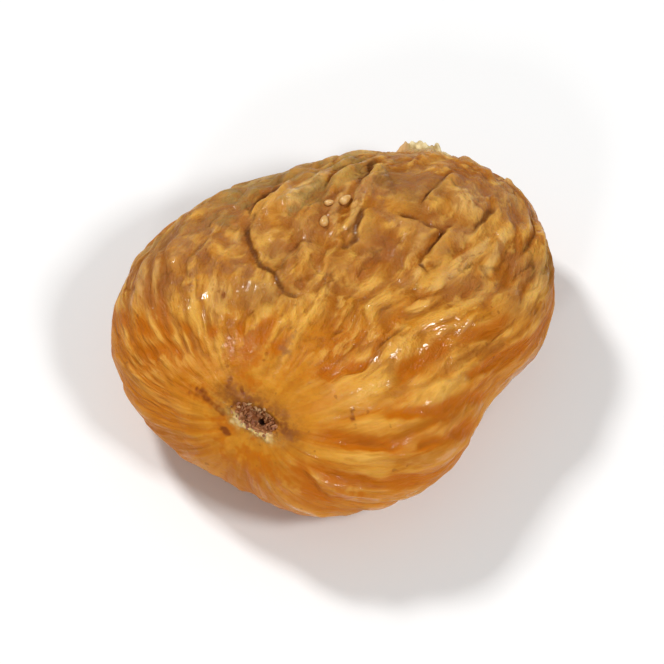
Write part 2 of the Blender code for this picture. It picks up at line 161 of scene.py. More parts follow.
# Stains by the (x, height in the view) of their middles, their half widths and their turn in degrees.
stains = {
    "raggedness": 0.8,
    "strengths": {"olive": 0.75, "brown": 0.75, "orange": 0.8, "rust": 0.9},
    "olive": [(-7.5, 17.0, 8.0, 2.2, 38.0), (2.0, 18.6, 4.5, 2.6, 25.0), (-1.5, 15.6, 3.6, 1.2, 30.0)],
    "brown": [(9.2, 17.0, 3.4, 2.2, 0.0), (13.6, 10.4, 2.6, 0.7, 35.0), (16.5, 16.4, 3.8, 2.2, -30.0),
              (4.6, 15.8, 2.8, 1.8, 10.0), (8.0, 12.4, 3.6, 1.2, -20.0), (-15.0, 8.6, 3.4, 4.4, 30.0),
              (-4.5, -1.5, 1.6, 0.8, 55.0), (-9.6, 8.4, 2.0, 1.6, 50.0), (-10.3, -7.0, 1.7, 2.1, 8.0),
              (-9.3, -2.2, 2.4, 1.6, 60.0), (-5.2, -11.1, 1.2, 0.4, 0.0)],
    "orange": [(-8.8, -3.0, 2.8, 2.6, 20.0), (-8.4, -14.4, 5.0, 2.0, -25.0), (-0.5, -17.6, 5.5, 1.8, -6.0),
               (-12.0, -10.8, 2.8, 1.5, -30.0), (-14.0, -7.2, 2.4, 1.0, -30.0),
               (-8.0, -11.8, 2.0, 0.9, -20.0)],
    "rust": [(-12.1, 4.2, 0.4, 0.8, 0.0), (-14.2, -7.0, 1.3, 0.6, -30.0), (-12.8, -8.0, 1.4, 0.5, -33.0),
             (-10.6, -7.4, 1.2, 1.0, -10.0), (-11.1, -5.3, 0.4, 0.8, 0.0), (-11.7, -11.0, 1.5, 0.45, -38.0),
             (-12.6, -8.2, 0.8, 0.22, -35.0), (-11.3, -7.2, 0.35, 0.25, 0.0), (-9.7, -5.6, 0.3, 0.5, 10.0),
             (-9.2, -7.9, 0.3, 0.4, 0.0), (9.2, -16.6, 0.8, 0.5, 30.0), (2.2, -9.0, 0.4, 1.3, 0.0),
             (12.9, 11.2, 0.8, 0.45, 0.0)],
}

eye = {
    "puckerRadius": 6.0,
    "puckerDepth": 1.0,
    "lipRadius": 1.35,
    "lipHeight": 0.5,
    "lipWidth": 0.3,
    "lobes": 11,
    "lobeDepth": 0.12,
    "foldHeight": 0.6,          # the side opposite the lip bulges over the opening
    "foldReach": 1.3,
    "holeRadius": 1.25,
    "holeDepth": 0.75,
    "pitPlace": 0.45,           # along the long axis, to the right
    "pitRadius": 0.34,
    "pitDepth": 0.7,
    "pitClear": 0.42,           # no bract stands nearer to the pit's middle
    "stretch": 2.15,
    "turn": -36.0,
}

stub = {
    "length": 0.8,
    "tipRadius": 1.6,
    "baseRadius": 3.6,
    "hollow": 0.3,
    "lean": 0.15,
}

skinMesh = {
    "ringPoints": 384,
    "ringCount": 250,
    "crowding": 0.3,
    "crownDensity": 0.55,       # how much closer the points are on the upper face
}


def directionFrom(bearing, rise):
    bearing, rise = math.radians(bearing), math.radians(rise)
    level = math.cos(rise)
    return np.array([level * math.cos(bearing), level * math.sin(bearing), math.sin(rise)])


def smoothStep(low, high, value):
    part = np.clip((value - low) / (high - low), 0.0, 1.0)
    return part * part * (3.0 - 2.0 * part)


# Lines of equal turn are arcs that meet at the eye, where travel is 0, and at the stem, where it is 1.
def ribDirection(turn, travel):
    eyeWay, stemWay = directionFrom(*body["eye"]), directionFrom(*body["stem"])
    eyeFlat = complex(eyeWay[0], eyeWay[1]) / (1.0 + eyeWay[2])
    stemFlat = complex(stemWay[0], stemWay[1]) / (1.0 + stemWay[2])
    near, far = np.cos(travel * math.pi / 2), np.sin(travel * math.pi / 2) * np.exp(1j * turn)
    top, bottom = eyeFlat * near + stemFlat * far, near + far
    size = np.abs(top) ** 2 + np.abs(bottom) ** 2
    across = 2.0 * top * np.conj(bottom) / size
    up = (np.abs(bottom) ** 2 - np.abs(top) ** 2) / size
    return np.stack([across.real, across.imag, up], axis=-1)


def rimRadius(bearing):
    radii, count = np.array(body["rimRadii"]), len(body["rimRadii"])
    place = (bearing % (2 * math.pi)) / (2 * math.pi) * count
    index = np.floor(place).astype(int)
    part = place - index
    before, here, after, beyond = (radii[(index + step) % count] for step in (-1, 0, 1, 2))
    slope = after - before
    bend = 2 * before - 5 * here + 4 * after - beyond
    twist = 3 * (here - after) + beyond - before
    return 0.5 * (2 * here + part * (slope + part * (bend + part * twist)))


def cushionPoint(direction):
    across = np.hypot(direction[..., 0], direction[..., 1])
    up = direction[..., 2]
    fullness = np.where(up > 0, body["crownFullness"], body["bellyFullness"])
    size = (across ** fullness + np.abs(up) ** fullness) ** (1.0 / fullness)
    radius = rimRadius(np.arctan2(direction[..., 1], direction[..., 0]))
    height = np.where(up > 0, body["crownHeight"], body["bellyDepth"])
    acrossX = body["rimMiddle"][0] + radius * direction[..., 0] / size
    acrossY = body["rimMiddle"][1] + radius * direction[..., 1] / size
    return np.stack([acrossX, acrossY, height * up / size], axis=-1)


def cushionNormal(direction):
    level = np.abs(direction[..., 2:3]) < 0.9
    side = np.cross(np.where(level, np.array([0.0, 0.0, 1.0]), np.array([1.0, 0.0, 0.0])), direction)
    side /= np.linalg.norm(side, axis=-1, keepdims=True)
    other = np.cross(direction, side)
    step = 0.01
    alongSide, alongOther = (cushionPoint(direction + step * way) - cushionPoint(direction - step * way)
                             for way in (side, other))
    normal = np.cross(alongSide, alongOther)
    return normal / np.linalg.norm(normal, axis=-1, keepdims=True)


def noiseAt(places):
    return np.array([noise.noise(Vector(place)) for place in places])


def waverAt(points, size):
    return np.stack([noiseAt(points / size + shift) for shift in (11.3, 23.9, 37.1)], axis=-1)


def viewHeight(points):
    return points[:, 1] * math.sin(viewRise) + points[:, 2] * math.cos(viewRise)


# 1 where the skin faces the view, 0 where it is seen edge on.
def viewFacing(normals):
    return normals[:, 2] * math.sin(viewRise) - normals[:, 1] * math.cos(viewRise)


# How much each point lies in a line, and on its folded side, fading across it and towards its ends.
def lineShares(x, v, line, width):
    nearest, along, sideways = np.full(len(x), 1e9), np.zeros(len(x)), np.zeros(len(x))
    length = 0.0
    for (startX, startV), (endX, endV) in zip(line, line[1:]):
        runX, runV = endX - startX, endV - startV
        run = math.hypot(runX, runV)
        part = np.clip(((x - startX) * runX + (v - startV) * runV) / run ** 2, 0.0, 1.0)
        awayX, awayV = x - startX - part * runX, v - startV - part * runV
        distance = np.hypot(awayX, awayV)
        closer = distance < nearest
        along = np.where(closer, length + part * run, along)
        towardsLip = awayX * creases["lipWay"][0] + awayV * creases["lipWay"][1]
        sideways = np.where(closer, towardsLip / np.maximum(distance, 0.01), sideways)
        nearest = np.where(closer, distance, nearest)
        length += run
    ends = smoothStep(0.0, creases["taper"], np.minimum(along, length - along) + 0.3)
    ends = ends * np.clip(0.9 + 0.9 * noiseAt(np.stack([x, v, 0.0 * x], axis=-1) / 2.2), 0.3, 1.0)
    rising = smoothStep(0.0, creases["lipAway"], nearest)
    falling = np.exp(-np.maximum(nearest - creases["lipAway"], 0.0) / creases["lipReach"])
    lip = rising * falling * smoothStep(0.0, 0.5, sideways)
    shade = np.exp(-(nearest / creases["shadeWidth"]) ** 2) * smoothStep(0.6, -0.4, sideways)
    return np.exp(-(nearest / width) ** 2) * ends, lip * ends, shade * ends


# Rounded ridges and narrow valleys, long along the ribs, from about -0.5 to 0.9.
def ridges(turn, travel, pitch, length, waver):
    places = np.stack([pitch * np.cos(turn), pitch * np.sin(turn), length * travel], axis=-1)
    soft = np.sqrt(noiseAt(places + waver) ** 2 + ribs["softness"] ** 2)
    return 2.0 * (soft ** ribs["sharpness"] - ribs["middle"])


def ribRelief(turn, travel, points):
    waver = ribs["waver"] * waverAt(points, 6.0)
    shown = smoothStep(*ribs["fade"], np.minimum(travel, 1.0 - travel))
    uneven = 1.0 + ribs["unevenness"] * noiseAt(points / 9.0 + 5.0)
    far = ridges(turn, travel, ribs["pitch"], ribs["length"], waver)
    near = ridges(turn, travel, ribs["nearPitch"], ribs["length"], 0.6 * waver)
    mixed = near + smoothStep(*ribs["nearZone"], travel) * (far - near)
    return ribs["height"] * uneven * shown * mixed


def crumpleRelief(turn, travel, points):
    waver = crumple["waver"] * waverAt(points, 5.0)
    return crumple["height"] * ridges(turn, travel, crumple["pitch"], crumple["length"], waver)


# How much each point lies in a crease, on its lip, in the shade beside it, in a furrow and in a streak,
# where it faces the view.
def creaseShares(points, normals):
    x = points[:, 0] + creases["waver"] * (noiseAt(points / 2.5) + 0.5 * noiseAt(points))
    v = viewHeight(points) + creases["waver"] * (noiseAt(points / 2.5 + 50.0) + 0.5 * noiseAt(points + 20.0))

    def most(kind, width, part=1.0):
        shares = [lineShares(x, v, line, creases[width]) for line in creases[kind]]
        return part * np.max(np.maximum(shares, 0.0), axis=0)

    folded = np.maximum(most("lines", "width"), most("fineLines", "width", creases["fineShare"]))
    shares = (*folded, most("furrows", "furrowWidth")[0], most("streaks", "streakWidth")[0])
    return [share * smoothStep(0.1, 0.4, viewFacing(normals)) for share in shares]


def stainShare(points, normals, patches):
    x = points[:, 0] + 1.2 * noiseAt(points / 3.0 + 9.0)
    v = viewHeight(points) + 1.2 * noiseAt(points / 3.0 + 31.0)
    ragged = stains["raggedness"] * (noiseAt(points / 1.6 + 70.0) + 0.7 * noiseAt(points / 0.5 + 7.0))
    total = np.zeros(len(points))
    for middleX, middleV, wide, high, turn in patches:
        turn = math.radians(turn)
        along = (x - middleX) * math.cos(turn) + (v - middleV) * math.sin(turn)
        across = (v - middleV) * math.cos(turn) - (x - middleX) * math.sin(turn)
        away = np.hypot(along / wide, across / high) + ragged
        total = np.maximum(total, 1.0 - smoothStep(0.35, 1.15, away))
    return total * smoothStep(-0.1, 0.2, normals[:, 2])


def eyeFrame():
    direction = directionFrom(*body["eye"])
    place, normal = cushionPoint(direction), cushionNormal(direction)
    level = np.cross(np.array([0.0, 1.0, 0.0]), normal)
    level /= np.linalg.norm(level)
    turn = math.radians(eye["turn"])
    longAxis = level * math.cos(turn) + np.cross(normal, level) * math.sin(turn)
    return place, normal, longAxis


def eyeReach(points):
    place, normal, longAxis = eyeFrame()
    away = points - place
    along, across = away @ longAxis, away @ np.cross(normal, longAxis)
    reach = np.sqrt((along / eye["stretch"]) ** 2 + across ** 2 + (away @ normal) ** 2)
    return reach, along, across


def eyeAway(points):
    return np.linalg.norm(points - eyeFrame()[0], axis=1)


def pitAway(points):
    place, normal, longAxis = eyeFrame()
    return np.linalg.norm(points - place - eye["pitPlace"] * longAxis, axis=1)


# A puckered bowl with a wavy lip on its lower side and a bulge of skin over its upper side.
def eyeRelief(points):
    reach, along, across = eyeReach(points)
    pucker = -eye["puckerDepth"] * (1.0 - smoothStep(0.0, eye["puckerRadius"], eyeAway(points)))
    upper = across / np.maximum(reach, 0.1)
    around = np.arctan2(across * eye["stretch"], along)
    wavy = eye["lipRadius"] + eye["lobeDepth"] * np.cos(eye["lobes"] * around) + 0.5 * noiseAt(points / 0.8)
    ragged = np.clip(0.9 + 1.2 * noiseAt(points / 0.4 + 3.0), 0.35, 1.6)
    lip = eye["lipHeight"] * ragged * np.exp(-((reach - wavy) / eye["lipWidth"]) ** 2)
    lip = lip * smoothStep(0.45, -0.1, upper)
    edge = smoothStep(0.85 * eye["lipRadius"], 1.1 * eye["lipRadius"], reach)
    fold = edge * np.exp(-np.maximum(reach - eye["lipRadius"], 0.0) / eye["foldReach"])
    fold = eye["foldHeight"] * fold * smoothStep(0.0, 0.7, upper)
    hole = -eye["holeDepth"] * (1.0 - smoothStep(0.5 * eye["holeRadius"], eye["holeRadius"], reach))
    pit = -eye["pitDepth"] * np.exp(-(pitAway(points) / eye["pitRadius"]) ** 2)
    return pucker + lip + fold + hole + pit


def stubFrame():
    direction = directionFrom(*body["stem"])
    place, axis = cushionPoint(direction), cushionNormal(direction)
    axis = axis + np.array([0.0, 0.0, stub["lean"]])
    return place, axis / np.linalg.norm(axis)


def stubMove(points):
    place, axis = stubFrame()
    reach = np.linalg.norm(points - place, axis=1)
    torn = 1.0 + 0.3 * noiseAt(points / 1.3 + 4.0)
    rise = stub["length"] * torn * (1.0 - smoothStep(stub["tipRadius"], stub["baseRadius"], reach))
    hollow = stub["hollow"] * (1.0 - smoothStep(0.0, stub["tipRadius"], reach))
    return (rise - hollow)[:, None] * axis, reach


# Across the ribs, towards the upper left of the view, and less where the ribs run that way themselves.
def leanWay(turn, travel):
    across = cushionPoint(ribDirection(turn + 0.01, travel)) - cushionPoint(ribDirection(turn - 0.01, travel))
    across = across / np.maximum(np.linalg.norm(across, axis=1, keepdims=True), 1e-9)
    upperLeft = np.array([-0.7, 0.7 * math.sin(viewRise), 0.7 * math.cos(viewRise)])
    return across * np.clip(2.0 * across @ upperLeft, -1.0, 1.0)[:, None]


# The skin's points in millimetres, and for each what its colour and finer relief depend on.
def skinPoints(evenTurn, travel):
    turn = evenTurn + body["crownSpread"] * np.sin(evenTurn)
    direction = ribDirection(turn, travel)
    points, normals = cushionPoint(direction), cushionNormal(direction)
    crumpled = smoothStep(*crumple["zone"], viewHeight(points)) * smoothStep(0.0, 0.5, normals[:, 2])
    swell = body["swellHeight"] * noiseAt(points / body["swellSize"] + np.array(body["swellOffset"]))
    wall = 1.0 - smoothStep(0.05, 0.75, normals[:, 2])
    ribbed = (1.0 - ribs["wallLoss"] * wall) * ribRelief(evenTurn, travel, points)
    folds = (1.0 - crumpled) * ribbed + crumpled * crumpleRelief(evenTurn, travel, points)
    waver = smallFolds["waver"] * waverAt(points, 4.0)
    small = ridges(evenTurn, travel, smallFolds["pitch"], smallFolds["length"], waver)
    spread = smoothStep(*ribs["fade"], np.minimum(travel, 1.0 - travel))
    patchy = np.clip(0.6 + 1.2 * noiseAt(points / 7.0 + 60.0), 0.15, 1.2)
    smallShape = spread * patchy * small
    smallHeight = smallFolds["calmHeight"] + (smallFolds["height"] - smallFolds["calmHeight"]) * crumpled
    creased, lipped, shaded, furrowed, streaked = creaseShares(points, normals)
    folds = folds - creases["furrowDepth"] * furrowed - creases["streakDepth"] * streaked
    raised = folds + creases["lipHeight"] * lipped
    relief = swell + raised + smallHeight * smallShape - creases["depth"] * creased + eyeRelief(points)
    reach, along, across = eyeReach(points)
    stubShift, stubReach = stubMove(points)
    calm = smoothStep(2.0, 6.0, eyeAway(points)) * smoothStep(3.0, 6.0, stubReach)
    # painted rim light: a thin band where the skin on the far side is seen edge on, later painted cream
    facing = viewFacing(normals)
    farRim = smoothStep(0.3, 0.14, facing) * smoothStep(-0.1, 0.04, facing)
    marks = {
        "crumpled": crumpled,
        "farRim": farRim * smoothStep(0.0, 0.3, normals[:, 1]),
        "folds": folds,
        "creased": creased,
        "lipped": lipped,
        "shaded": shaded,
        "smallShape": smallShape,
        "streaked": np.maximum(streaked, 0.8 * furrowed),
        "wall": wall,
        "bumpy": smoothStep(-11.0, 2.0, viewHeight(points)),
        "eyeReach": reach,
        "pitAway": pitAway(points),
        "eyeAcross": across,
        "eyeAway": eyeAway(points),
        "stemReach": stubReach,
    }
    for stain in stains["strengths"]:
        marks[stain + "Stain"] = stainShare(points, normals, stains[stain])
    points = points + relief[:, None] * normals + stubShift
    points = points + (ribs["lean"] * calm * folds)[:, None] * leanWay(turn, travel) + settling
    points[:, 2] = np.maximum(points[:, 2], 0.0)
    return points, marks


def ringSizes():
    full = skinMesh["ringPoints"]
    caps = [full // 8, full // 4, full // 2, full // 2]
    return caps + [full] * (skinMesh["ringCount"] - 2 * len(caps)) + caps[::-1]


# Faces between two rings of points: quads where they are alike, triangles where one has twice as many.
def bandFaces(near, far):
    if len(near) == len(far):
        return [(near[i], near[i - 1], far[i - 1], far[i]) for i in range(len(near))]
    faces = []
    small, large = (near, far) if len(near) < len(far) else (far, near)
    for i in range(len(small)):
        following = small[(i + 1) % len(small)]
        left, middle, right = (large[(2 * i + step) % len(large)] for step in (0, 1, 2))
        trio = [(small[i], middle, left), (small[i], following, middle), (following, right, middle)]
        faces += trio if small is far else [face[::-1] for face in trio]
    return faces


def meshObject(name, vertices, faces):
    data = bpy.data.meshes.new(name)
    data.from_pydata(vertices, [], faces)
    data.shade_smooth()
    made = bpy.data.objects.new(name, data)
    bpy.context.scene.collection.objects.link(made)
    return made


def addMark(piece, name, values, kind="FLOAT"):
    mark = piece.data.attributes.new(name, kind, "POINT")
    mark.data.foreach_set("value" if kind == "FLOAT" else "vector", values)


def buildSkin():
    sizes = ringSizes()
    steps = np.arange(1, skinMesh["ringCount"] + 1) / (skinMesh["ringCount"] + 1)
    travels = steps - skinMesh["crowding"] * np.sin(2 * math.pi * steps) / (2 * math.pi)
    turn = np.concatenate([[0.0]] + [np.arange(size) / size * 2 * math.pi for size in sizes] + [[0.0]])
    turn = turn - skinMesh["crownDensity"] * np.sin(turn)
    travel = np.concatenate([[0.0], np.repeat(travels, sizes), [1.0]])
    points, marks = skinPoints(turn, travel)

    starts = np.concatenate([[1], 1 + np.cumsum(sizes)])
    rings = [list(range(start, start + size)) for start, size in zip(starts, sizes)]
    faces = [(0, rings[0][i - 1], rings[0][i]) for i in range(sizes[0])]
    for near, far in zip(rings, rings[1:]):
        faces += bandFaces(near, far)
    last = len(points) - 1
    faces += [(last, rings[-1][i], rings[-1][i - 1]) for i in range(sizes[-1])]
    skin = meshObject("fig_skin", points * mm, faces)
    grain = np.stack([np.cos(turn), np.sin(turn), travel], axis=-1)
    addMark(skin, "grain", grain.ravel(), "FLOAT_VECTOR")
    for name, values in marks.items():
        addMark(skin, name, values)
    return skin


# The tree that the helpers below add their nodes to.
opened = {}


# A socket is linked, and anything else is set.
def setInputs(node, inputs):
    for name, value in inputs.items():
        if isinstance(value, bpy.types.NodeSocket):
            opened["tree"].links.new(value, node.inputs[name])
        else:
            node.inputs[name].default_value = value


def addNode(kind, inputs=None, **settings):
    made = opened["tree"].nodes.new(kind)
    for name, value in settings.items():
        setattr(made, name, value)
    setInputs(made, inputs or {})
    return made


def nodeValue(kind, inputs=None, **settings):
    return addNode(kind, inputs, **settings).outputs[0]


def worked(operation, first, second=0.0):
    return nodeValue("ShaderNodeMath", {0: first, 1: second}, operation=operation)


def plus(first, second):
    return worked("ADD", first, second)


def minus(first, second):
    return worked("SUBTRACT", first, second)


def centred(value):
    return minus(value, 0.5)


def times(total, *factors):
    for factor in factors:
        total = worked("MULTIPLY", total, factor)
    return total


def vectorWorked(operation, first, second):
    return nodeValue("ShaderNodeVectorMath", {0: first, 1: second}, operation=operation)


def vectorPlus(total, *others):
    for other in others:
        total = vectorWorked("ADD", total, other)
    return total


def scaled(vector, factor):
    return nodeValue("ShaderNodeVectorMath", {0: vector, "Scale": factor}, operation="SCALE")


def crossed(first, second):
    return vectorWorked("CROSS_PRODUCT", first, second)


def stretchedAlong(grain, stretch):
    return vectorWorked("MULTIPLY", grain, (1.0, 1.0, stretch))


def split(vector):
    return addNode("ShaderNodeSeparateXYZ", {0: vector}).outputs


def joined(x, y, z):
    return nodeValue("ShaderNodeCombineXYZ", {"X": x, "Y": y, "Z": z})


# A value brought from one range to another, held at both ends.
def ranged(value, low, high, toLow=0.0, toHigh=1.0, smooth=True):
    inputs = {"Value": value, 1: low, 2: high, 3: toLow, 4: toHigh}
    return nodeValue("ShaderNodeMapRange", inputs, interpolation_type="SMOOTHSTEP" if smooth else "LINEAR")


def noiseValue(vector, scale, detail=2.0, roughness=0.5, distortion=0.0, output=0):
    inputs = {"Vector": vector, "Scale": scale, "Detail": detail}
    inputs |= {"Roughness": roughness, "Distortion": distortion}
    return addNode("ShaderNodeTexNoise", inputs).outputs[output]


# A random vector at each place, with parts from about -0.5 to 0.5.
def swaying(vector, scale):
    return vectorWorked("SUBTRACT", noiseValue(vector, scale, 1.0, output="Color"), (0.5, 0.5, 0.5))


# Opens a tree with an input for each value, and for each name of a vector and an object.
def newTree(name, values, vectors=(), objects=()):
    tree = bpy.data.node_groups.new(name, "GeometryNodeTree")
    tree.interface.new_socket("Geometry", in_out="INPUT", socket_type="NodeSocketGeometry")
    rows = [(label, "NodeSocketInt" if isinstance(value, int) else "NodeSocketFloat", value)
            for label, value in values.items()]
    rows += [(label, "NodeSocketVector", (0.0, 0.0, 1.0)) for label in vectors]
    rows += [(label, "NodeSocketObject", None) for label in objects]
    for label, kind, value in rows:
        tree.interface.new_socket(label, in_out="INPUT", socket_type=kind).default_value = value
    tree.interface.new_socket("Geometry", in_out="OUTPUT", socket_type="NodeSocketGeometry")
    opened["tree"] = tree
    return tree, tree.nodes.new("NodeGroupInput").outputs


# Runs a tree on a piece and keeps the result as its plain mesh.
def applyTree(piece, tree, values):
    modifier = piece.modifiers.new(tree.name, "NODES")
    modifier.node_group = tree
    identifiers = {item.name: item.identifier for item in tree.interface.items_tree if item.in_out == "INPUT"}
    for label, value in values.items():
        modifier[identifiers[label]] = value
    evaluated = piece.evaluated_get(bpy.context.evaluated_depsgraph_get())
    result = bpy.data.meshes.new_from_object(evaluated)
    piece.modifiers.remove(modifier)
    piece.data = result
    result.name = piece.name
    result.shade_smooth()


def finishTree(geometry, material):
    realized = nodeValue("GeometryNodeRealizeInstances", {"Geometry": geometry})
    coated = nodeValue("GeometryNodeSetMaterial", {"Geometry": realized, "Material": material})
    addNode("NodeGroupOutput", {"Geometry": coated})


def namedValue(name, kind="FLOAT"):
    return addNode("GeometryNodeInputNamedAttribute", {"Name": name}, data_type=kind).outputs["Attribute"]


def namedVector(name):
    return namedValue(name, "FLOAT_VECTOR")


def storedValue(geometry, name, value, kind="FLOAT", domain="POINT"):
    inputs = {"Geometry": geometry, "Name": name, "Value": value}
    return nodeValue("GeometryNodeStoreNamedAttribute", inputs, data_type=kind, domain=domain)


# Sets the places of a geometry's points, or with "Offset" moves them.
def moved(geometry, vector, socket="Position"):
    return nodeValue("GeometryNodeSetPosition", {"Geometry": geometry, socket: vector})


wrinkles = {
    "Lump Height": 0.42 * mm,
    "Fine Rib Height": 0.06 * mm,
    "Fine Rib Count": 11.0,
    "Crinkle Height": 0.22 * mm,
    "Crinkle Count": 9.0,
    "Wrinkle Depth": 0.22 * mm,
    "Wrinkle Count": 6.0,
    "Grit Height": 0.05 * mm,
    "Stem Groove Height": 0.5 * mm,
    "Seed": 3.0,
}


# Fine ribs between the large ones, and the crumpled half's small bumps and wrinkles.
def wrinkleTree(material):
    tree, given = newTree("wrinkles", wrinkles)
    grain = namedVector("grain")
    crumpled = namedValue("crumpled")
    travel = split(grain)["Z"]
    toEnd = worked("MINIMUM", travel, minus(1.0, travel))
    place = nodeValue("GeometryNodeInputPosition")
    shifted = vectorPlus(place, given["Seed"])
    waver = swaying(shifted, 260.0)
    patchy = ranged(noiseValue(shifted, 120.0, 1.0), 0.35, 0.65, 0.25, 1.0)

    # noise drawn out along the ribs
    def grainNoise(stretch, swing, scale, detail=1.0, roughness=0.5):
        vector = vectorPlus(stretchedAlong(grain, stretch), scaled(waver, swing))
        return noiseValue(vector, scale, detail, roughness)

    lump = times(centred(noiseValue(shifted, 210.0)), given["Lump Height"], 2.0)

    ridge = worked("POWER", worked("ABSOLUTE", centred(grainNoise(0.45, 0.06, given["Fine Rib Count"]))), 0.8)
    fineRib = times(ridge, given["Fine Rib Height"], 2.5, patchy, ranged(toEnd, 0.08, 0.25))

    amount = ranged(crumpled, 0.0, 1.0, 0.25, 1.0)
    bump = ranged(grainNoise(1.2, 0.2, given["Crinkle Count"]), 0.3, 0.68)
    crinkle = times(centred(bump), given["Crinkle Height"], amount, ranged(toEnd, 0.06, 0.24))

    line = worked("ABSOLUTE", centred(grainNoise(0.9, 0.25, given["Wrinkle Count"])))
    line = ranged(line, 0.0, 0.05, 1.0, 0.0)
    lineMask = ranged(noiseValue(shifted, 170.0, 1.0), 0.44, 0.6)
    wrinkle = times(line, lineMask, ranged(crumpled, 0.0, 1.0, 0.15, 1.0), ranged(toEnd, 0.1, 0.22))

    grit = times(centred(noiseValue(place, 1000.0, 2.0, 0.6)), given["Grit Height"])
    onStem = ranged(namedValue("stemReach"), 4.4, 2.4)
    groove = times(centred(grainNoise(0.3, 0.02, 3.2, 2.0, 0.6)), given["Stem Groove Height"], 2.0, onStem)
    height = plus(lump, plus(fineRib, plus(crinkle, plus(grit, groove))))
    height = minus(height, times(wrinkle, given["Wrinkle Depth"]))
    height = minus(height, times(given["Fine Rib Height"], 0.9))
    height = times(height, ranged(split(place)["Z"], 0.0, 0.8 * mm))        # none on the flat underside
    offset = scaled(nodeValue("GeometryNodeInputNormal"), height)
    finishTree(storedValue(moved(given["Geometry"], offset, "Offset"), "wrinkle", wrinkle), material)
    return tree


def newMaterial(name):
    material = bpy.data.materials.new(name)
    material.use_nodes = True
    opened["tree"] = material.node_tree
    return material, material.node_tree.nodes["Principled BSDF"]


def objectPlace():
    return addNode("ShaderNodeTexCoord").outputs["Object"]


def markValue(name, output="Fac"):
    return addNode("ShaderNodeAttribute", attribute_name=name).outputs[output]


def blended(share, first, second):
    return addNode("ShaderNodeMix", {0: share, 6: first, 7: second}, data_type="RGBA").outputs[2]


def bumped(strength, distance, height, **under):
    inputs = {"Strength": strength, "Distance": distance, "Height": height}
    return nodeValue("ShaderNodeBump", {**inputs, **under})


skinColours = {
    "gold": (0.61, 0.250, 0.018, 1.0),
    "amber": (0.50, 0.170, 0.006, 1.0),
    "pale": (0.82, 0.450, 0.085, 1.0),
    "cream": (0.70, 0.48, 0.20, 1.0),
    "orange": (0.49, 0.128, 0.001, 1.0),
    "tan": (0.29, 0.078, 0.003, 1.0),
    "rust": (0.20, 0.045, 0.004, 1.0),
    "brown": (0.32, 0.120, 0.036, 1.0),
    "olive": (0.30, 0.185, 0.050, 1.0),
    "crease": (0.14, 0.040, 0.004, 1.0),
    "eyeRim": (0.50, 0.29, 0.07, 1.0),
    "eyeHalo": (0.20, 0.055, 0.010, 1.0),
    "eyeInside": (0.27, 0.085, 0.028, 1.0),
    "pit": (0.03, 0.010, 0.005, 1.0),
    "stemDry": (0.60, 0.46, 0.21, 1.0),
}

skinFinish = {
    "Coat Roughness": 0.07,
    "Subsurface Weight": 0.25,
    "Subsurface Radius": (1.0, 0.35, 0.06),
    "Subsurface Scale": 1.2 * mm,
    "Specular IOR Level": 0.1,
}


